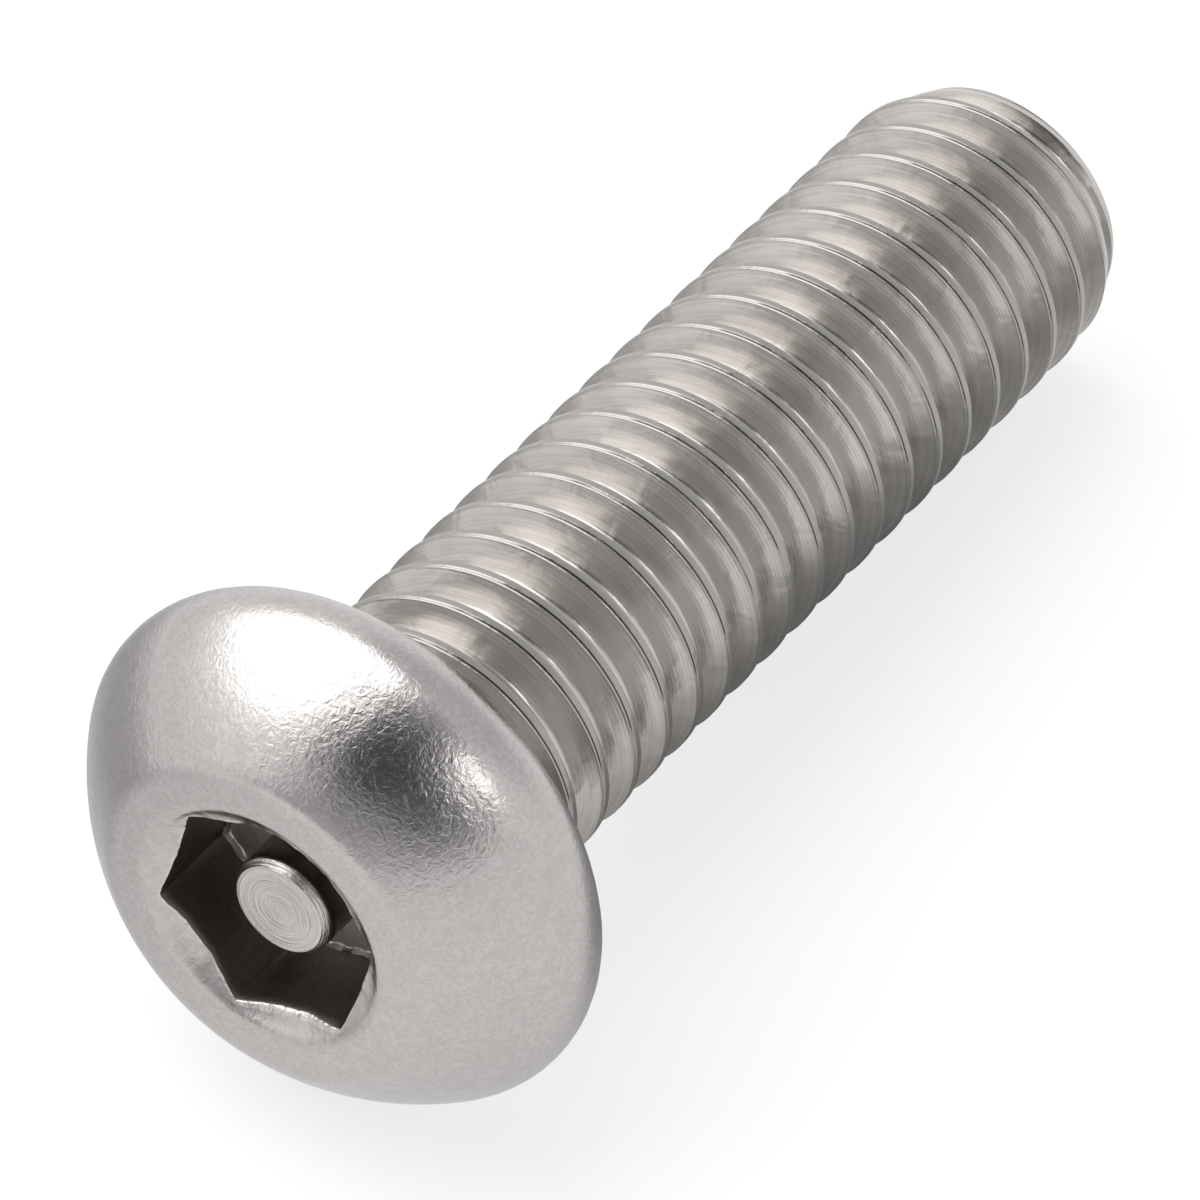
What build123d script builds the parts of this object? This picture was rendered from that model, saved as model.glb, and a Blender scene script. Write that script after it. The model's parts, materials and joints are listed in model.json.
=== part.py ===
# A button head screw with an M6 thread, a hexagon socket and a pin that stands in the middle of the
# socket. It is drawn upright: the bearing face of the head lies in the plane z = 0, the head rises above
# it and the shank hangs below. At the end it is laid down as it comes to rest on a table, on the rim of
# its head and on the last crest of its thread, with the middle of its length over the origin and its
# point towards +X. All sizes are in millimetres.
from build123d import *
import os
from math import atan2, ceil, cos, degrees, floor, radians, sin, sqrt, tan

os.makedirs("parts", exist_ok=True)

# Shank
shank_length = 20.5
crest_diameter = 5.88
tip_diameter = 5.1
tip_angle = 21.5
neck_diameter = 5.28
neck_length = 1.3
neck_chamfer = 0.4
taper_angle = 45.0

# Thread
pitch = 1.0
crest_width = 0.154
thread_depth = 0.555
flank_angle = 30.0
run_out_length = 0.9
thread_turn = 52.7

# Head
head_diameter = 10.4
head_height = 3.55
rim_round = 1.1
rim_flats = 2
crown_diameter = 6.5
crown_round = 1.2

# Socket and pin
socket_width = 4.0
socket_depth = 2.1
socket_turn = -13.6
floor_chamfer = 0.15
mouth_diameter = 5.0
mouth_angle = 60.0
pin_diameter = 2.0
pin_below_crown = 0.55
pin_end_diameter = 1.7
pin_chamfer_length = 0.2

crest_radius = crest_diameter / 2
tip_radius = tip_diameter / 2
neck_radius = neck_diameter / 2
root_radius = crest_radius - thread_depth
head_radius = head_diameter / 2
crown_radius = crown_diameter / 2
mouth_radius = mouth_diameter / 2
overlap = 0.1


def groove_half_width(radius):
    """Half the width of the thread's groove at this radius: what the crest leaves of the pitch at the
    crests, and more or less than that by the slope of the flank."""
    return (pitch - crest_width) / 2 + (radius - crest_radius) * tan(radians(flank_angle))


# One turn of the groove: a V with a flat floor, open a little past the crests
groove_mouth_radius = crest_radius + overlap / 2
groove_mouth = groove_half_width(groove_mouth_radius)
groove_floor = groove_half_width(root_radius)
with BuildPart() as groove_turn:
    with BuildSketch(Plane.XZ):
        with BuildLine():
            Polyline(
                (root_radius, -groove_floor),
                (root_radius, groove_floor),
                (groove_mouth_radius, groove_mouth),
                (groove_mouth_radius, -groove_mouth),
                close=True,
            )
        make_face()
    with BuildLine() as groove_path:
        Helix(pitch, pitch, crest_radius)
    sweep(path=groove_path.line, is_frenet=True)

# The threaded shank: a bar as thick as the crests, pointed below and tapered above, with the groove cut
# round it turn by turn. The first turn starts inside the neck and the last one runs out past the point.
tip_length = (crest_radius - tip_radius) / tan(radians(tip_angle))
bar_end_radius = root_radius - overlap
bar_top = -neck_length + overlap + (neck_radius - bar_end_radius) / tan(radians(taper_angle))
taper_length = (crest_radius - bar_end_radius) / tan(radians(taper_angle))
groove_top = -neck_length + groove_mouth
groove_turns = ceil((shank_length + groove_top) / pitch) + 1
with BuildPart() as threaded_shank:
    with BuildSketch(Plane.XZ):
        with BuildLine():
            Polyline(
                (0, bar_top),
                (bar_end_radius, bar_top),
                (crest_radius, bar_top - taper_length),
                (crest_radius, -shank_length + tip_length),
                (tip_radius, -shank_length),
                (0, -shank_length),
                close=True,
            )
        make_face()
    revolve(axis=Axis.Z)
    starts = [groove_top - (turn + 1) * pitch for turn in range(groove_turns)]
    with Locations(*[Location((0, 0, start), (0, 0, thread_turn)) for start in starts]):
        add(groove_turn.part, mode=Mode.SUBTRACT)

# The rim is rounded by a circle that lies on the bearing face. Below the head's widest circle it is cut
# in flats.
rim_middle_radius = head_radius - rim_round
rim_turns = [radians(90 * step / rim_flats) for step in range(rim_flats + 1)]
rim_ways = [Vector(sin(turn), 1 - cos(turn)) * rim_round for turn in rim_turns]
rim_corners = [(rim_middle_radius + way.X, way.Y) for way in rim_ways]

# The dome is a sphere about a point on the axis. It passes through the edge of the crown's flat and
# holds the rim's circle from outside, which gives one equation in its radius. A last flat leads from the
# head's widest circle to the place where the two meet.
rise = head_height - rim_round
slope = rim_round / rise
lift = (rim_middle_radius**2 - crown_radius**2 - head_height**2) / (2 * rise)
square = 1 - slope**2
linear = slope * (head_height + lift)
constant = crown_radius**2 + (head_height + lift) ** 2
dome_radius = (linear + sqrt(linear**2 + square * constant)) / square
dome_centre = -(lift + slope * dome_radius)
rim_way = Vector(rim_middle_radius, rim_round - dome_centre).normalized() * dome_radius
crown_way = Vector(crown_radius, head_height - dome_centre)
dome_middle = (rim_way + crown_way).normalized() * dome_radius
print("dome radius", round(dome_radius, 3), "about the height", round(dome_centre, 3))

# The hexagon of the socket, with a bevel round its floor
floor_height = head_height - socket_depth
with BuildPart() as hexagon:
    with BuildSketch(Plane.XY.offset(floor_height)):
        RegularPolygon(socket_width / 2, 6, major_radius=False, rotation=socket_turn)
    extrude(amount=socket_depth + overlap)
    chamfer(hexagon.faces().sort_by(Axis.Z)[0].edges(), floor_chamfer)

# Head, neck and the cone that closes the groove where it runs out at the neck, then the socket, its
# countersunk mouth and the pin
with BuildPart() as upright:
    with BuildSketch(Plane.XZ) as head_section:
        with BuildLine():
            Polyline(
                (crown_radius, head_height),
                (0, head_height),
                (0, -neck_length - run_out_length),
                (root_radius - overlap / 2, -neck_length - run_out_length),
                (neck_radius, -neck_length),
                (neck_radius, 0),
                *rim_corners,
                (rim_way.X, rim_way.Y + dome_centre),
            )
            ThreePointArc(
                (rim_way.X, rim_way.Y + dome_centre),
                (dome_middle.X, dome_middle.Y + dome_centre),
                (crown_radius, head_height),
            )
        make_face()
        chamfer(head_section.vertices().sort_by_distance((neck_radius, 0))[0], neck_chamfer)
        fillet(head_section.vertices().sort_by_distance((crown_radius, head_height))[0], crown_round)
    revolve(axis=Axis.Z)
    add(threaded_shank.part)
    add(hexagon.part, mode=Mode.SUBTRACT)
    with BuildSketch(Plane.XZ):
        with BuildLine():
            Polyline(
                (0, head_height + overlap),
                (mouth_radius + overlap * tan(radians(mouth_angle)), head_height + overlap),
                (0, head_height - mouth_radius / tan(radians(mouth_angle))),
                close=True,
            )
        make_face()
    revolve(axis=Axis.Z, mode=Mode.SUBTRACT)
    pin_top = head_height - pin_below_crown
    with BuildSketch(Plane.XZ):
        with BuildLine():
            Polyline(
                (0, floor_height - overlap),
                (pin_diameter / 2, floor_height - overlap),
                (pin_diameter / 2, pin_top - pin_chamfer_length),
                (pin_end_diameter / 2, pin_top),
                (0, pin_top),
                close=True,
            )
        make_face()
    revolve(axis=Axis.Z)

# The last crest that touches the table: the crest strip's lower edge on the side that will face down, or
# the start of the point where that cuts the strip
under_side = 180.0
crest_half_width = pitch / 2 - groove_half_width(crest_radius)
crest_middle = groove_top + pitch * ((under_side - thread_turn) / 360 - 0.5)
tip_start = -shank_length + tip_length
whole_turns = floor((crest_middle + crest_half_width - tip_start) / pitch)
touch_height = max(crest_middle - whole_turns * pitch - crest_half_width, tip_start)

# How far the axis slopes down towards the point, so that the head's widest circle and that crest touch
# the table
lean = atan2(head_radius - crest_radius, rim_round - touch_height)
seat_height = head_radius * cos(lean) - rim_round * sin(lean)
round_height = head_height - crown_round
round_radius = sqrt((dome_radius - crown_round) ** 2 - (round_height - dome_centre) ** 2)
head_reach = round_height * cos(lean) + round_radius * sin(lean) + crown_round
tip_reach = shank_length * cos(lean) + tip_radius * sin(lean)
seat_place = (head_reach - tip_reach) / 2
print("lean in degrees", round(degrees(lean), 3))
print("bearing face's middle at", round(seat_place, 4), 0, round(seat_height, 4))

with BuildPart() as screw:
    with Locations(Location((seat_place, 0, seat_height), (0, degrees(lean) - 90, 0))):
        add(upright.part)

screw.part.label = "screw"
export_step(screw.part, "parts/screw.step")
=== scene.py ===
# %% [markdown]
# A button head screw in stainless steel
#
# The screw is one piece of metal with several kinds of surface. The head is tumbled to a satin, the thread
# is rolled and nearly polished, the socket is punched and its walls are painted dark as the shade inside it,
# and the end of its pin is turned on a lathe. The lesson makes the whole screw as one closed grid of points,
# and gives each kind of surface its own steel.

# %% Load the frame
import json

import bmesh
import bpy
import numpy as np
from mathutils import Matrix, Vector


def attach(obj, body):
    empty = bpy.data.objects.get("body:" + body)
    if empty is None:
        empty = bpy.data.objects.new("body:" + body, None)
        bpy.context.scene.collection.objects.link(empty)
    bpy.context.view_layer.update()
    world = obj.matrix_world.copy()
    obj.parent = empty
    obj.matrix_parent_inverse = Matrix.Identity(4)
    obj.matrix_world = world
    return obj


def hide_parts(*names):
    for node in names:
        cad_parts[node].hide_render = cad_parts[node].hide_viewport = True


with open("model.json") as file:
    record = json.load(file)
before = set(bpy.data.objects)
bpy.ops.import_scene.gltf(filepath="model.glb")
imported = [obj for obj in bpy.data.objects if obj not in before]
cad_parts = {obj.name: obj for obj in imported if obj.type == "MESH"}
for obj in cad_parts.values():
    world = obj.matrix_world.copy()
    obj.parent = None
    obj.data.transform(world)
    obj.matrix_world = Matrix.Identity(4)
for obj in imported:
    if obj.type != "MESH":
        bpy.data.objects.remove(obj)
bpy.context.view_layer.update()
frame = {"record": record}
MM = 0.001

# %% [markdown]
# Where the screw lies
#
# The screw can't stand on its rounded head, so it lies on the table on the rim of its head and on its
# thread. The frame's record says where the flat under the head is and which way it faces. That gives the
# screw's own axis. Every point below is worked out upright, as on a drawing, and then laid down along that
# axis, because sums about an upright axis are easier to read than sums about a leaning one.

# %% The screw's own axes in the frame
seat = next(m for m in frame["record"]["mounts"] if m["name"] == "bearing_face")
point_way = np.array(seat["axis"])
seat_middle = np.array([seat["pos_m"][0], 0.0, seat["pos_m"][2]])
up_way = np.array([-point_way[2], 0.0, point_way[0]])
side_way = np.array([0.0, 1.0, 0.0])
print("axis", point_way.round(4), "bearing face's middle in mm", (seat_middle / MM).round(3))


def laid_down(upright):
    """Upright points in millimetres to the frame's metres: x goes up across the axis, y stays sideways, and
    z runs against the way to the point."""
    x, y, z = upright[:, 0:1], upright[:, 1:2], upright[:, 2:3]
    return seat_middle + MM * (x * up_way + y * side_way - z * point_way)


# %% [markdown]
# Sizes
#
# All sizes are in millimetres. The bearing face of the head is at height zero, with the head above it and
# the thread below it. The main sizes are those of the CAD model. Rounds, bevels and the strip along the
# thread's crest are a few hundredths or tenths off it, where the real screw's are, and the seam, the torn
# edges and the dish at the point are only here.

# %% Sizes of the shank and thread
shank_length = 20.5
crest_radius = 2.94
tip_radius = 2.55
tip_slope = np.tan(np.radians(21.5))
neck_radius = 2.64
neck_length = 1.3
neck_round = 0.4
run_out_length = 0.9
pitch = 1.0
flank_angle = 30.0
flank_slope = np.tan(np.radians(flank_angle))
crest_width = 0.21
root_round = 0.15
seam_depth = 0.022
thread_turn = 52.7
groove_top = -0.848
print("thread", 2 * crest_radius, "x", pitch, "and", shank_length, "long")

# %% Sizes of the head, socket and pin
head_radius = 5.2
head_height = 3.55
rim_round = 1.1
crown_radius = 3.25
crown_round = 0.6
socket_apothem = 2.0
socket_corner_radius = 2.275
floor_height = 1.45
socket_turn = -13.6
floor_chamfer = 0.09
mouth_radius = 2.5
mouth_slope = np.tan(np.radians(60.0))
mouth_round = 0.11
mouth_sag = 0.05
pin_radius = 1.0
pin_end_radius = 0.88
pin_top = 3.0
pin_chamfer = 0.17
print("head", 2 * head_radius, "wide and", head_height, "high, hexagon", 2 * socket_apothem)

# %% [markdown]
# Columns
#
# The screw could be turned from a profile with a Screw modifier, but a hexagon and a thread aren't round.
# So it is a grid, with columns round the axis and rows along the outline, from the middle of the pin's end,
# out over the head and down the thread to the middle of the flat point. There is a column close to either
# side of each corner of the socket, so that the corners stay crisp.

# %% Angles of the columns
per_side = 22
near_corner = 0.012
side_share = np.linspace(0.0, 1.0, per_side, endpoint=False)
side_share[1] = near_corner
side_share = np.concatenate([side_share, [1.0 - near_corner]])
angles = np.radians(socket_turn + 60.0 * (np.arange(6)[:, None] + side_share[None, :]).ravel())
columns = len(angles)
print(columns, "columns")


def hexagon_reach(angle):
    """Distance from the axis to the wall of the socket: the apothem over the cosine of the angle from the
    middle of the nearest flat, and no more than the reach of the punch's blunt corners."""
    from_flat = (np.degrees(angle) - socket_turn) % 60.0 - 30.0
    return np.minimum(socket_apothem / np.cos(np.radians(from_flat)), socket_corner_radius)


# %% [markdown]
# Rows of the socket and head
#
# A row is one radius and one height for every column. Plain rows have the same radius all round. In the
# socket the radius follows the hexagon, and its countersunk mouth is a cone, so the wall is higher at the
# corners. A boolean cut would give the same shape, but no even grid to round its edges on.

# %% Helpers for rows
rows = []
kinds = []


def add_row(radius, height, kind):
    """One row of the grid: a radius and a height for each column, and the kind of surface after it."""
    rows.append((np.broadcast_to(radius, (columns,)), np.broadcast_to(height, (columns,))))
    kinds.append(kind)


def add_arc(centre_radius, centre_height, arc_radius, start, end, steps, kind):
    """Rows along a round: the centre plus the radius times cosine and sine of an angle that goes from start
    to end, in degrees."""
    for a in np.radians(np.linspace(start, end, steps)):
        add_row(centre_radius + arc_radius * np.cos(a), centre_height + arc_radius * np.sin(a), kind)


def blended(start, end, shares, kind):
    """Rows between two rows, each a share of the way from the first to the second."""
    for share in shares:
        add_row(start[0] + (end[0] - start[0]) * share, start[1] + (end[1] - start[1]) * share, kind)


# %% [markdown]
# Uneven edges
#
# A punch tears the metal a little where it stops, so the edge of the socket's floor and the lip of its
# mouth aren't straight. They could be roughened with a noise texture, but an edge shows best when its own
# points move, so each is given a line that wanders by some hundredths of a millimetre.


# %% A line that wanders
def uneven(amount, seed, lowest=5, highest=44):
    """A line that wanders about zero round the axis: cosines of whole numbers of waves in a turn, with
    random starts and heights that fall with the square root of that number, scaled to a typical size of
    amount."""
    random = np.random.default_rng(seed)
    waves = np.arange(lowest, highest)
    heights = random.normal(size=len(waves)) / np.sqrt(waves)
    starts = random.uniform(0, 2 * np.pi, len(waves))
    line = (heights * np.cos(np.outer(angles, waves) + starts)).sum(axis=1)
    return amount * line / line.std()


# %% The pin
edge = 0.02
nub_radius = 0.05
nub_height = 0.015
foot_round = 0.08
for r in (0.0, 0.03, nub_radius, 0.08, 0.2, 0.35, 0.5, 0.65, 0.8, pin_end_radius - edge):
    add_row(r, pin_top + (nub_height if r < nub_radius else 0.0), "pin")
chamfer_start = (pin_end_radius + edge / 2, pin_top - edge / 2)
chamfer_end = (pin_radius - edge / 2, pin_top - pin_chamfer + edge)
blended(chamfer_start, chamfer_end, (0.0, 0.35, 0.7, 1.0), "pin")
side_start = (pin_radius, pin_top - pin_chamfer - edge)
blended(side_start, (pin_radius, floor_height + 0.1), np.linspace(0, 1, 9), "pin_side")
add_arc(pin_radius + foot_round, floor_height + foot_round, foot_round, 180, 270, 4, "pin_side")
print("the pin has", len(rows), "rows")

# %% The socket's floor and walls
burr = 0.022
lip = uneven(0.012, 3, 8, 60)
wall = hexagon_reach(angles)
floor_edge = (wall - floor_chamfer + uneven(0.014, 1), np.full(columns, floor_height))
blended((pin_radius + 0.12, floor_height), floor_edge, np.linspace(0.0, 1.0, 7), "floor")
burr_top = (floor_edge[0] + burr, floor_height + burr + uneven(0.006, 4, 20, 66))
blended(floor_edge, burr_top, (0.5,), "burr")
add_row(*burr_top, "socket")
wall_foot = (wall, floor_height + floor_chamfer + uneven(0.02, 2))
blended(burr_top, wall_foot, (0.5, 1.0), "socket")

# %% The lip that the punch turned up
# It is wider on the flat that faces the table, and falls to the plain width by the fourth power of the angle
plain_lip = 0.025
wide_lip = 0.06
wide_lip_angle = socket_turn + 210.0
from_wide_lip = np.abs((np.degrees(angles) - wide_lip_angle + 180.0) % 360.0 - 180.0)
lip_round = plain_lip + wide_lip * np.clip(1.0 - (from_wide_lip / 32.0) ** 4, 0.0, 1.0)
wall_top = (wall, head_height - (mouth_radius - wall) / mouth_slope - lip_round + lip)
blended(wall_foot, wall_top, np.linspace(0.08, 1.0, 10), "socket")
lip_crest = (wall + 0.4 * lip_round, wall_top[1] + 0.8 * lip_round)
mouth_foot = (wall + 1.5 * lip_round + np.maximum(lip, 0), wall_top[1] + 1.5 * lip_round)
blended(wall_top, lip_crest, (0.5,), "burr")
blended(lip_crest, mouth_foot, (0.0, 0.5), "burr")
print("lip from", round(lip_round.min(), 3), "to", round(lip_round.max(), 3), "wide")

# %% The countersunk mouth, sagging a little, and its rounded edge
mouth_end_radius = np.full(columns, mouth_radius - mouth_round)
mouth_end = (mouth_end_radius, np.full(columns, head_height - mouth_round / mouth_slope))
for share in np.linspace(0.0, 1.0, 7):
    sag = mouth_sag * (mouth_end[0] - mouth_foot[0]) * np.sin(np.pi * share)
    between = [(1 - share) * start + share * end for start, end in zip(mouth_foot, mouth_end)]
    add_row(between[0], between[1] - sag, "mouth")
for share in (0.25, 0.5, 0.75, 1.0):
    fall = mouth_round * (1 - share) ** 2 / mouth_slope
    kind = "mouth" if share < 0.5 else "head"
    add_row(mouth_radius - mouth_round + 2 * mouth_round * share, head_height - fall, kind)
print("rows up to the crown:", len(rows))

# %% The dome's circle
# It passes through the edge of the crown's flat and holds the rim's circle from outside
rim_centre = head_radius - rim_round
rise = head_height - rim_round
slope = rim_round / rise
lift = (rim_centre**2 - crown_radius**2 - head_height**2) / (2 * rise)
reach = head_height + lift
dome_radius = (slope * reach + np.sqrt(reach**2 + (1 - slope**2) * crown_radius**2)) / (1 - slope**2)
dome_centre = -(lift + slope * dome_radius)
round_height = head_height - crown_round
round_reach = np.sqrt((dome_radius - crown_round) ** 2 - (round_height - dome_centre) ** 2)
dome_top_angle = np.degrees(np.arctan2(round_height - dome_centre, round_reach))
dome_foot_angle = np.degrees(np.arctan2(rim_round - dome_centre, rim_centre))
print("dome radius", round(dome_radius, 3), "from", round(dome_top_angle, 2), "degrees down")

# %% The crown, dome, rim and neck
for r in np.linspace(mouth_radius + mouth_round + 0.04, round_reach - 0.01, 3):
    add_row(r, head_height, "head")
add_arc(round_reach, round_height, crown_round, 90, dome_top_angle, 7, "head")
add_arc(0.0, dome_centre, dome_radius, dome_top_angle, dome_foot_angle, 22, "head")
add_arc(rim_centre, rim_round, rim_round, dome_foot_angle, -90, 12, "head")
blended((rim_centre, 0.0), (neck_radius + neck_round, 0.0), np.linspace(0.05, 1, 6), "head")
add_arc(neck_radius + neck_round, -neck_round, neck_round, 90, 180, 6, "head")
print("rows down to the neck:", len(rows))

# %% [markdown]
# Rows of the thread
#
# A thread could be a profile swept along a helix and joined to the shank, but its two ends would then need
# to be closed by hand. Here the rows follow the groove instead: one runs along the middle of the root,
# others up its two flanks and over the crest. Their height falls by one pitch in a turn, and where a row
# runs past an end of the thread it stays at that end. The radius there is the least of the groove, the
# crests and the cone of the point.

# %% The thread's section
# Places across the groove in millimetres, and how far each lies below the plain groove. On the head's side
# they cross the seam where the rolled crest has closed, and the low edges of the crest.
groove_half = (pitch - crest_width) / 2
groove_apex = crest_radius - groove_half / flank_slope
root_touch = root_round * np.cos(np.radians(flank_angle))
head_side = np.array([-0.5, -0.478, -0.452, -0.43, -0.412, -0.402, -0.389, -0.3, -0.24, -0.18])
head_side_drop = np.array([0.0, 0.001, seam_depth, 0.004, 0.0, 0.008, 0.0, 0.0, 0.0, 0.0])
root = root_touch * np.array([-1.0, -0.72, -0.4, 0.0, 0.4, 0.72, 1.0])
tip_side = np.array([0.18, 0.25, 0.32, 0.389, 0.402, 0.418, 0.46])
tip_side_drop = np.array([0.0, 0.0, 0.0, 0.0, 0.012, 0.003, 0.0])
section = np.concatenate([head_side, root, tip_side])


def plain_groove(across):
    """Radius of a plain groove this far across it: a circle at the root, straight flanks that touch it, and
    the flat crest."""
    across = np.abs(across)
    circle = groove_apex + 2 * root_round - np.sqrt(np.maximum(root_round**2 - across**2, 0.0))
    flank = groove_apex + across / flank_slope
    return np.minimum(np.where(across < root_touch, circle, flank), crest_radius)


section_radius = plain_groove(section) - np.concatenate([head_side_drop, 0 * root, tip_side_drop])
root_radius = section_radius.min()
print("root radius", round(float(root_radius), 3), "crest", round(float(section_radius.max()), 3))


def groove_radius(across):
    """Radius of the thread this far across its groove: the straight line between the points of the section
    on either side, and round again after one pitch."""
    return np.interp(across, section, section_radius, period=pitch)


# %% Rows from the neck to the point
first_thread_row = len(rows)
turns = int(np.ceil(shank_length / pitch)) + 2
thread_start = -neck_round - 0.05
turn_share = ((np.degrees(angles) - thread_turn) % 360.0) / 360.0
for turn in range(-1, turns):
    for across in section[::-1]:
        height = groove_top + pitch * (turn_share - 1 - turn + across)
        height = np.clip(height, -shank_length, thread_start)
        off = (height - groove_top - pitch * turn_share + pitch / 2) % pitch - pitch / 2
        radius = np.minimum(groove_radius(off), tip_radius + (height + shank_length) * tip_slope)
        run_out = neck_radius + (height + neck_length) * (neck_radius - root_radius) / run_out_length
        radius = np.where(height > -neck_length, neck_radius, np.maximum(radius, run_out))
        add_row(radius, height, "thread")
last_thread_row = len(rows)
print("rows of the thread:", last_thread_row - first_thread_row)

# %% The dished end of the point
for r, dish in ((0.97, 0.015), (0.9, 0.05), (0.8, 0.09), (0.6, 0.115), (0.3, 0.12), (0.0, 0.12)):
    add_row(r * tip_radius, -shank_length + dish, "point")
print(len(rows), "rows")

# %% [markdown]
# The mesh
#
# Four neighbours in the grid make a face. Round the axis the last column meets the first, but in the thread
# a row has fallen by a whole pitch by then, so it goes on as the same line one turn higher. Rows that stay
# at an end of the thread, and the points on the axis, fall together and are merged, which closes the grid.

# %% Points and faces of the grid
radius = np.array([r for r, _ in rows])
height = np.array([h for _, h in rows])
upright = np.stack([radius * np.cos(angles), radius * np.sin(angles), height], axis=-1)
points = laid_down(upright.reshape(-1, 3))
row, column = np.meshgrid(np.arange(len(rows) - 1), np.arange(columns), indexing="ij")
turn_start = int(np.argmin(turn_share))
next_column = (column + 1) % columns
crosses = next_column == turn_start


def partner(row_number):
    """The row that a row goes on as in the next column: itself, or the same line of the thread one turn
    higher where the count of turns starts again."""
    one_turn_up = np.maximum(row_number - len(section), first_thread_row)
    in_thread = (row_number >= first_thread_row) & (row_number < last_thread_row)
    return np.where(crosses & in_thread, one_turn_up, row_number)


here = row * columns + column
below = here + columns
beside = partner(row) * columns + next_column
beside_below = partner(row + 1) * columns + next_column
quads = np.stack([here, below, beside_below, beside], axis=-1).reshape(-1, 4)
print(len(points), "points and", len(quads), "faces before the ends are merged")

# %% The screw's mesh, with its upright places kept for the materials
names = ["pin", "pin_side", "floor", "burr", "socket", "mouth", "head", "thread", "point"]
slots = np.repeat([names.index(k) for k in kinds[:-1]], columns)
mesh = bpy.data.meshes.new("steel_screw")
mesh.from_pydata(points, [], quads.tolist())
mesh.polygons.foreach_set("material_index", slots.astype(np.int32))
upright_mm = mesh.attributes.new("upright_mm", "FLOAT_VECTOR", "POINT")
upright_mm.data.foreach_set("vector", upright.reshape(-1).astype(np.float32))
screw = bpy.data.objects.new("steel_screw", mesh)
bpy.context.scene.collection.objects.link(screw)

# %% Merge the ends and turn all faces outwards
merge_distance = 2e-7
sharp_angle = 32.0
closed = bmesh.new()
closed.from_mesh(mesh)
bmesh.ops.remove_doubles(closed, verts=closed.verts, dist=merge_distance)
bmesh.ops.dissolve_degenerate(closed, edges=closed.edges, dist=merge_distance)
bmesh.ops.recalc_face_normals(closed, faces=closed.faces)
open_edges = sum(1 for e in closed.edges if len(e.link_faces) != 2)
closed.to_mesh(mesh)
closed.free()
mesh.shade_smooth()
mesh.set_sharp_from_angle(angle=np.radians(sharp_angle))
triangles = sum(len(p.vertices) - 2 for p in mesh.polygons)
print(len(mesh.vertices), "points,", triangles, "triangles,", open_edges, "open edges")


# %% [markdown]
# Steel
#
# One steel covers the screw, but each tool has left its own surface: tumbling gives the head the fine
# wrinkles of orange peel, the rollers draw lines along the thread, the lathe leaves rings on the pin, and
# the punch scratches the walls of the socket. Each of these is a small node group that puts out a normal
# and a mask, worked out from the point's place on the upright screw in millimetres, which the mesh carries
# as an attribute. So the marks stay on the metal from any side, and one number on a group makes them deeper
# or shallower.

# %% Helpers for nodes
NUMBER = "NodeSocketFloat"
VECTOR = "NodeSocketVector"


def put(tree, kind, inputs=None, **settings):
    """A new node with its settings, and its inputs as numbers or as other nodes' outputs."""
    made = tree.nodes.new(kind)
    for key, value in settings.items():
        setattr(made, key, value)
    for key, value in (inputs or {}).items():
        if isinstance(value, bpy.types.NodeSocket):
            tree.links.new(value, made.inputs[key])
        else:
            made.inputs[key].default_value = value
    return made


def maths(tree, operation, *values):
    """The result of a Math node for one, two or three values."""
    return put(tree, "ShaderNodeMath", dict(enumerate(values)), operation=operation).outputs[0]


def vector_maths(tree, operation, *values):
    """The result of a Vector Math node: a number for a length, distance or dot product, else a vector."""
    made = put(tree, "ShaderNodeVectorMath", dict(enumerate(values)), operation=operation)
    gives_number = operation in ("LENGTH", "DISTANCE", "DOT_PRODUCT")
    return made.outputs["Value" if gives_number else "Vector"]


def soft_step(tree, value, start, end):
    """Nought below the start, one above the end, and a smooth step between."""
    inputs = {"Value": value, "From Min": start, "From Max": end}
    return put(tree, "ShaderNodeMapRange", inputs, interpolation_type="SMOOTHSTEP").outputs["Result"]


def noise(tree, place, scale, detail=2.0, distortion=0.0, roughness=0.5):
    """Smooth noise between nought and one at a place."""
    inputs = {"Vector": place, "Scale": scale, "Detail": detail}
    inputs.update({"Distortion": distortion, "Roughness": roughness})
    return put(tree, "ShaderNodeTexNoise", inputs).outputs["Fac"]


def bumpy(tree, depth, metres, hills):
    """A normal for hills: depth times metres is how far a hill of one stands up."""
    distance = maths(tree, "MULTIPLY", depth, metres)
    return put(tree, "ShaderNodeBump", {"Strength": 1.0, "Distance": distance, "Height": hills}).outputs[0]


# %% Helpers for node groups
def start_group(name, inputs, outputs):
    """An empty node group with named inputs, each with its first value, and named outputs, each with its
    type."""
    group = bpy.data.node_groups.new(name, "ShaderNodeTree")
    for socket_name, value in inputs.items():
        made = group.interface.new_socket(socket_name, in_out="INPUT", socket_type=NUMBER)
        made.default_value = value
    for socket_name, kind in outputs.items():
        group.interface.new_socket(socket_name, in_out="OUTPUT", socket_type=kind)
    return group, put(group, "NodeGroupInput").outputs, put(group, "NodeGroupOutput").inputs


def end_group(group, out, results):
    """Joins a group's results to its outputs by name."""
    for socket_name, value in results.items():
        group.links.new(value, out[socket_name])
    print(group.name, "has", len(group.nodes), "nodes")


def use_group(tree, group, **inputs):
    """The outputs of a group used in a tree, with its inputs by name."""
    return put(tree, "ShaderNodeGroup", inputs, node_tree=group).outputs


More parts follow.
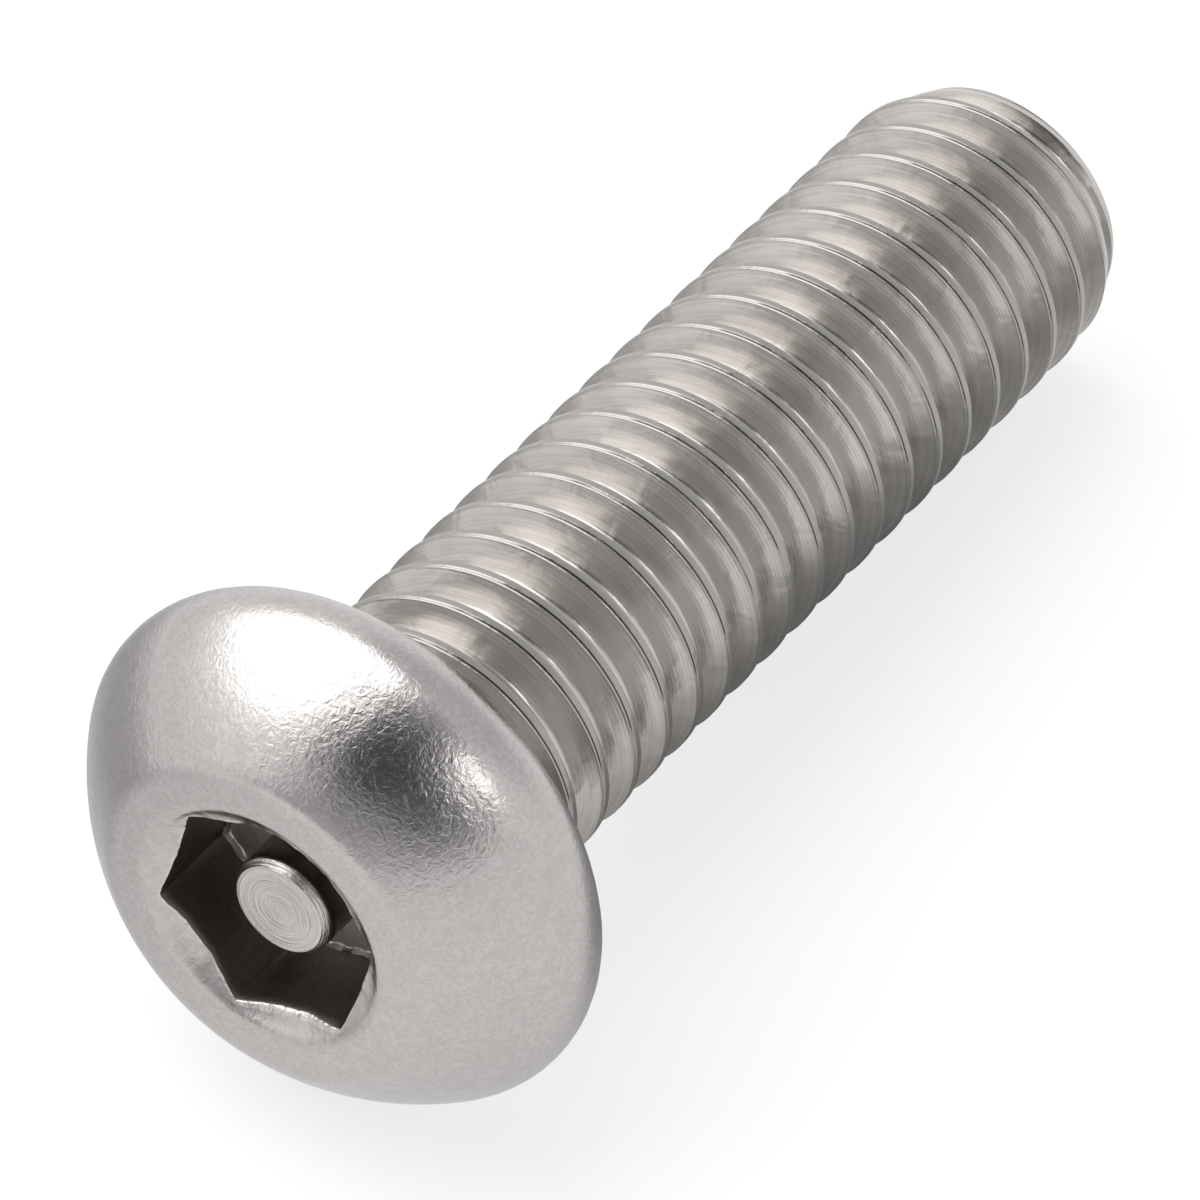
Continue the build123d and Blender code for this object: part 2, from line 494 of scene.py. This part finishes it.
# %% Group: places on the screw
# Across is how far a place lies from the middle of the groove, with the count starting again each pitch
outputs = {"Point": VECTOR, "Radius": NUMBER, "Height": NUMBER, "Across": NUMBER}
places, _, out = start_group("places_on_screw", {}, outputs)
point = put(places, "ShaderNodeAttribute", attribute_name="upright_mm").outputs["Vector"]
parts = put(places, "ShaderNodeSeparateXYZ", {0: point}).outputs
round_place = maths(places, "ARCTAN2", parts["Y"], parts["X"])
turn_part = maths(places, "DIVIDE", round_place, 2 * np.pi)
unwound = maths(places, "SUBTRACT", parts["Z"], turn_part)
from_middle = maths(places, "SUBTRACT", unwound, groove_top - thread_turn / 360)
flat = put(places, "ShaderNodeCombineXYZ", {0: parts["X"], 1: parts["Y"]}).outputs[0]
results = {
    "Point": point,
    "Radius": vector_maths(places, "LENGTH", flat),
    "Height": parts["Z"],
    "Across": maths(places, "WRAP", from_middle, 0.5, -0.5),
}
end_group(places, out, results)

# %% Group: orange peel on the tumbled head
peel, given, out = start_group("orange_peel", {"Depth": 1.0}, {"Normal": VECTOR, "Hollow_shade": NUMBER})
where = use_group(peel, places)
wrinkles = noise(peel, where["Point"], 6.0, 2.5, 1.5, 0.55)
grain = noise(peel, where["Point"], 19.0, 1.0)
hills = maths(peel, "MULTIPLY_ADD", grain, 0.16, wrinkles)
normal = bumpy(peel, given["Depth"], 0.000012, hills)
# The mask paints shade into the wrinkles: the colour is darker in their hollows and paler on their tops
end_group(peel, out, {"Normal": normal, "Hollow_shade": soft_step(peel, hills, 0.44, 0.74)})

# %% Group: lines that the rollers leave along the thread
outputs = {"Normal": VECTOR, "Crest": NUMBER, "Seam": NUMBER, "Streaks": NUMBER}
rolled, given, out = start_group("rolled_lines", {"Depth": 1.0}, outputs)
where = use_group(rolled, places)
slow = vector_maths(rolled, "MULTIPLY", where["Point"], (0.5, 0.5, 0.35))
stretched = maths(rolled, "MULTIPLY", where["Across"], 46.0)
stretch = put(rolled, "ShaderNodeCombineXYZ", {2: stretched}).outputs[0]
lines = noise(rolled, vector_maths(rolled, "ADD", slow, stretch), 1.0, 3.0, 0.0, 0.65)
off_crest = maths(rolled, "SUBTRACT", 0.5, maths(rolled, "ABSOLUTE", where["Across"]))
on_crest = maths(rolled, "SUBTRACT", 1.0, soft_step(rolled, off_crest, 0.1, 0.13))
pits = noise(rolled, where["Point"], 9.0, 3.0, 0.6)
rough_crest = maths(rolled, "MULTIPLY", on_crest, pits)
uneven_rolling = noise(rolled, where["Point"], 1.3, 2.0, 0.5)
waves = maths(rolled, "MULTIPLY_ADD", uneven_rolling, 3.5, maths(rolled, "MULTIPLY", lines, 0.28))
surface = maths(rolled, "MULTIPLY_ADD", rough_crest, 0.8, waves)
normal = bumpy(rolled, given["Depth"], 0.000012, surface)
smudges = soft_step(rolled, noise(rolled, where["Point"], 0.7, 1.0), 0.3, 0.7)
streaks = maths(rolled, "MULTIPLY_ADD", smudges, 0.16, maths(rolled, "MULTIPLY", lines, 0.9))

# %% The seam on the thread's crest
# The crest has closed over it nearly everywhere; in places along one side of the screw its groove is painted
# near black, as painted shade
seam_across = 0.45
seam_side = (0.82 / crest_radius, -0.57 / crest_radius, 0.0)
seam_off = maths(rolled, "ABSOLUTE", maths(rolled, "ADD", where["Across"], seam_across))
near_seam = maths(rolled, "SUBTRACT", 1.0, soft_step(rolled, seam_off, 0.006, 0.026))
wander = noise(rolled, where["Point"], 0.9, 2.0)
seam_shade_side = soft_step(rolled, vector_maths(rolled, "DOT_PRODUCT", where["Point"], seam_side), 0.5, 0.85)
seam_shade_gap = soft_step(rolled, maths(rolled, "MULTIPLY", wander, seam_shade_side), 0.3, 0.46)
# Where the seam's groove is painted dark as shade
seam = maths(rolled, "MULTIPLY", near_seam, seam_shade_gap)
end_group(rolled, out, {"Normal": normal, "Crest": on_crest, "Seam": seam, "Streaks": streaks})

# %% Group: rings that the lathe leaves on the end of the pin
turned, given, out = start_group("turned_rings", {"Depth": 1.0}, {"Normal": VECTOR, "Rings": NUMBER})
where = use_group(turned, places)
slow = vector_maths(turned, "MULTIPLY", where["Point"], (0.5, 0.5, 0.5))
outward = maths(turned, "MULTIPLY", where["Radius"], 24.0)
stretch = put(turned, "ShaderNodeCombineXYZ", {2: outward}).outputs[0]
rings = noise(turned, vector_maths(turned, "ADD", slow, stretch), 1.0, 3.0, 0.0, 0.6)
specks = noise(turned, where["Point"], 14.0, 2.0)
normal = bumpy(turned, given["Depth"], 0.000010, maths(turned, "MULTIPLY_ADD", specks, 0.3, rings))
end_group(turned, out, {"Normal": normal, "Rings": rings})

# %% Group: scratches and dents that the punch leaves in the socket
outputs = {"Normal": VECTOR, "Scratches": NUMBER}
punched, given, out = start_group("punch_scratches", {"Depth": 1.0}, outputs)
where = use_group(punched, places)
down = vector_maths(punched, "MULTIPLY", where["Point"], (5.0, 5.0, 1.6))
scratches = noise(punched, down, 1.0, 3.0, 0.8, 0.6)
dents = noise(punched, where["Point"], 3.4, 3.0, 0.8)
normal = bumpy(punched, given["Depth"], 0.000014, maths(punched, "MULTIPLY_ADD", dents, 0.9, scratches))
end_group(punched, out, {"Normal": normal, "Scratches": scratches})


# %% Steel with one kind of marks
def mixed(tree, share, first, second):
    """A colour that goes from the first to the second with a share."""
    return put(tree, "ShaderNodeMix", {0: share, 6: first, 7: second}, data_type="RGBA").outputs[2]


def steel(name, dark, pale, roughness, group, depth, mask):
    """A metal whose colour goes from dark to pale with a group's mask, and whose normal comes from that
    group."""
    material = bpy.data.materials.new(name)
    material.use_nodes = True
    tree = material.node_tree
    shader = tree.nodes["Principled BSDF"]
    shader.inputs["Metallic"].default_value = 1.0
    shader.inputs["Roughness"].default_value = roughness
    marks = use_group(tree, group, Depth=depth)
    tree.links.new(mixed(tree, marks[mask], (*dark, 1.0), (*pale, 1.0)), shader.inputs["Base Color"])
    tree.links.new(marks["Normal"], shader.inputs["Normal"])
    return material


# %% The thread's own steel
flank_roughness = 0.24
crest_roughness = 0.27


def thread_steel(name, depth):
    """Warm steel with lines along the thread, a plainer and duller crest, and painted shade, near black, in
    the seam where the crest has folded over."""
    dark, pale = (0.33, 0.315, 0.297), (0.70, 0.672, 0.644)
    # The seam's colour is near black: painted shade for the inside of its groove
    crest_colour, painted_seam_shade_colour = (0.37, 0.357, 0.343, 1.0), (0.02, 0.018, 0.016, 1.0)
    material = steel(name, dark, pale, flank_roughness, rolled, depth, "Streaks")
    tree = material.node_tree
    shader = tree.nodes["Principled BSDF"]
    marks = next(n for n in tree.nodes if n.type == "GROUP").outputs
    plain = shader.inputs["Base Color"].links[0].from_socket
    with_crest = mixed(tree, marks["Crest"], plain, crest_colour)
    with_seam = mixed(tree, marks["Seam"], with_crest, painted_seam_shade_colour)
    tree.links.new(with_seam, shader.inputs["Base Color"])
    between = {"Value": marks["Crest"], "To Min": flank_roughness, "To Max": crest_roughness}
    dull = put(tree, "ShaderNodeMapRange", between)
    tree.links.new(dull.outputs["Result"], shader.inputs["Roughness"])
    return material


# %% Each surface's steel: dark and pale colour, roughness, marks and their depth
# The socket's walls and the pin's side are painted dark brown, as painted shade inside the recess
wall_shade_colours = ((0.17, 0.152, 0.13), (0.25, 0.226, 0.195))
mouth_colours = ((0.38, 0.365, 0.355), (0.60, 0.578, 0.565))
finishes = {
    "pin": steel("turned_pin", (0.38, 0.365, 0.345), (0.78, 0.752, 0.722), 0.28, turned, 2.6, "Rings"),
    "pin_side": steel("side_of_pin_painted_shade", (0.26, 0.24, 0.21), (0.42, 0.39, 0.35), 0.3, punched, 0.5, "Scratches"),
    "floor": steel("socket_floor", (0.42, 0.40, 0.37), (0.60, 0.575, 0.54), 0.42, punched, 0.5, "Scratches"),
    # The torn edges and the punch's lip are painted pale: a painted highlight along the edges
    "burr": steel("torn_edge_painted_highlight", (0.46, 0.44, 0.41), (0.72, 0.70, 0.67), 0.3, punched, 2.2, "Scratches"),
    "socket": steel("punched_wall_painted_shade", *wall_shade_colours, 0.4, punched, 0.7, "Scratches"),
    "mouth": steel("socket_mouth", *mouth_colours, 0.24, punched, 0.8, "Scratches"),
    # The head and the point are painted darker in the hollows of their wrinkles, as painted shade
    "head": steel("tumbled_head", (0.478, 0.459, 0.451), (0.535, 0.513, 0.505), 0.23, peel, 0.75, "Hollow_shade"),
    "thread": thread_steel("rolled_thread", 0.7),
    "point": steel("cut_point", (0.40, 0.385, 0.36), (0.52, 0.50, 0.47), 0.34, peel, 1.6, "Hollow_shade"),
}
for name in names:
    mesh.materials.append(finishes[name])
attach(screw, "root")
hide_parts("screw")
print(len(finishes), "steels on", screw.name)

# %% [markdown]
# The floor
#
# The screw lies on a plain pale table. To look white it could be lit harder, but that light would fall on
# the metal too. So the table glows for the camera alone, and still takes the screw's shadow. The metal sees
# it by its own rule: white further out, with two grey patches of painted shade near the screw, one of them a
# painted contact shadow beside it, that darken the undersides in reflection.

# %% The floor's material
camera_glow = 0.69
floor_material = bpy.data.materials.new("white_floor")
floor_material.use_nodes = True
floor_tree = floor_material.node_tree
floor_shader = floor_tree.nodes["Principled BSDF"]
floor_shader.inputs["Base Color"].default_value = (0.33, 0.33, 0.33, 1.0)
floor_shader.inputs["Roughness"].default_value = 0.9
floor_shader.inputs["Specular IOR Level"].default_value = 0.0
floor_shader.inputs["Emission Color"].default_value = (1.0, 1.0, 1.0, 1.0)
place = put(floor_tree, "ShaderNodeTexCoord").outputs["Object"]


def past_patch(middle, inner, outer, least, level):
    """How bright the metal sees the floor: least inside a round patch of painted shade, and level outside
    it, with a smooth step from the inner to the outer radius in metres."""
    away = vector_maths(floor_tree, "DISTANCE", place, middle)
    inputs = {"Value": away, "From Min": inner, "From Max": outer, "To Min": least, "To Max": level}
    past = put(floor_tree, "ShaderNodeMapRange", inputs, interpolation_type="SMOOTHSTEP")
    return past.outputs["Result"]


# Two patches of painted shade that only the metal sees in the floor: a grey zone behind the screw and a
# painted contact shadow beside it
grey_shade_behind_screw = past_patch((-0.012, 0.026, 0.0), 0.010, 0.028, 0.1, 0.62)
painted_shadow_beside_screw = past_patch((0.001, -0.006, 0.0), 0.004, 0.012, 0.1, 1.0)
seen_by_metal = maths(floor_tree, "MULTIPLY", grey_shade_behind_screw, painted_shadow_beside_screw)
rays = put(floor_tree, "ShaderNodeLightPath").outputs
for_camera = maths(floor_tree, "MULTIPLY", rays["Is Camera Ray"], camera_glow)
glow = maths(floor_tree, "MULTIPLY_ADD", rays["Is Glossy Ray"], seen_by_metal, for_camera)
floor_tree.links.new(glow, floor_shader.inputs["Emission Strength"])
print("the floor has", len(floor_tree.nodes), "nodes")

# %% The floor's square
half = 1.0
corners = [(-half, -half, 0), (half, -half, 0), (half, half, 0), (-half, half, 0)]
floor_mesh = bpy.data.meshes.new("floor")
floor_mesh.from_pydata(corners, [], [(0, 1, 2, 3)])
floor_mesh.materials.append(floor_material)
floor = bpy.data.objects.new("floor", floor_mesh)
bpy.context.scene.collection.objects.link(floor)


# %% [markdown]
# The room
#
# Polished metal shows the room more than itself, so the light is a room to look at: white walls near the
# table, a greyer ceiling, one large soft window behind the screw and a dark corner by the camera. The room
# is in the world's shader, where each part is a round patch about a direction, and the window is a real
# lamp, because a lamp gives a cleaner light than a bright patch of world.

# %% Directions and patches of the room
room = bpy.data.worlds.new("room")
bpy.context.scene.world = room
room.use_nodes = True
room_tree = room.node_tree
looking = put(room_tree, "ShaderNodeTexCoord").outputs["Generated"]


def direction(azimuth, elevation):
    """Unit vector for an azimuth from +X towards +Y and a height over the table, both in degrees."""
    a, e = np.radians(azimuth), np.radians(elevation)
    return (np.cos(e) * np.cos(a), np.cos(e) * np.sin(a), np.sin(e))


def room_level(inner, outer, way, level_before, level):
    """Brightness that goes over to a new level inside a patch: a smooth step of the cosine between the
    direction looked in and the patch's middle, from the outer to the inner angle in degrees."""
    closeness = vector_maths(room_tree, "DOT_PRODUCT", looking, way)
    outer_cosine, inner_cosine = np.cos(np.radians([outer, inner])).tolist()
    inputs = {"Factor": soft_step(room_tree, closeness, outer_cosine, inner_cosine)}
    inputs.update({"A": level_before, "B": level})
    return put(room_tree, "ShaderNodeMix", inputs).outputs["Result"]


# %% The room from its walls to its ceiling
wall_level = 1.0
patches = [
    ("ceiling", 20.0, 88.0, (0, 90), 0.95),
    ("table's far edge", 15.0, 40.0, (100, -2), 0.72),
    ("wall round the window", 25.0, 62.0, (100, 52), 1.25),
    ("grey wall at the point", 20.0, 45.0, (-20, 45), 0.7),
    ("grey corner at the head", 22.0, 42.0, (-156, 48), 0.45),
    ("grey wall at the head", 6.0, 26.0, (172, 14), 0.52),
    ("grey ceiling over the camera", 5.0, 24.0, (-124, 72), 0.36),
    ("dark corner by the camera", 11.0, 22.0, (-167, 53), 0.01),
    ("dark camera", 5.0, 14.0, (-142, 36), 0.04),
    ("grey stand of the camera", 3.0, 10.0, (-129, 27), 0.22),
    ("small lamp beside the camera", 3.0, 11.0, (-114, 45), 3.4),
]
brightness = wall_level
for _, inner, outer, place, level in patches:
    brightness = room_level(inner, outer, direction(*place), brightness, level)
print("the room has", len(patches), "patches")

# %% White behind the table for the camera
seen = put(room_tree, "ShaderNodeLightPath").outputs["Is Camera Ray"]
background = put(room_tree, "ShaderNodeMix", {"Factor": seen, "A": brightness, "B": 1.0})
room_tree.links.new(background.outputs["Result"], room_tree.nodes["Background"].inputs["Strength"])
room_tree.nodes["Background"].inputs["Color"].default_value = (1.0, 1.0, 1.0, 1.0)


# %% The window
def lamp(name, way, side, distance, size, brightness):
    """A soft oval lamp in a direction, facing the screw, with its width turned to a side. Its power is its
    brightness times pi times its area, which is pi quarters of width times height."""
    data = bpy.data.lights.new(name, "AREA")
    data.shape = "ELLIPSE"
    data.size, data.size_y = size
    data.energy = brightness * np.pi * size[0] * size[1] * np.pi / 4
    hung = bpy.data.objects.new(name, data)
    back, side = Vector(way), Vector(side)
    side = (side - back * back.dot(side)).normalized()
    facing = Matrix((side, back.cross(side), back)).transposed()
    hung.matrix_world = Matrix.Translation(back * distance) @ facing.to_4x4()
    bpy.context.scene.collection.objects.link(hung)
    print(name, "of", round(data.energy, 3), "W")


lamp("window", direction(97, 60), direction(23, 23), 0.35, (0.45, 0.48), 1.5)

# %% [markdown]
# The camera
#
# It looks down on the lying screw from the head's side, about 49 degrees over the table, through a long
# lens, as product photographs of small parts are taken. Such a lens keeps the far turns of the thread
# nearly as large as the near ones.

# %% The camera
camera_data = bpy.data.cameras.new("camera")
camera_data.lens = 245.75
camera_data.clip_start = 0.01
camera_data.clip_end = 10.0
camera = bpy.data.objects.new("camera", camera_data)
camera_way = Vector((0.54498, 0.36828, -0.75324))
camera.location = Vector((-0.08165, -0.05415, 0.11487))
camera.rotation_mode = "QUATERNION"
camera.rotation_quaternion = camera_way.to_track_quat("-Z", "Y")
bpy.context.scene.collection.objects.link(camera)
bpy.context.scene.camera = camera
bpy.context.scene.view_settings.view_transform = "Standard"
print("the camera stands", round(camera.location.length, 3), "m away")
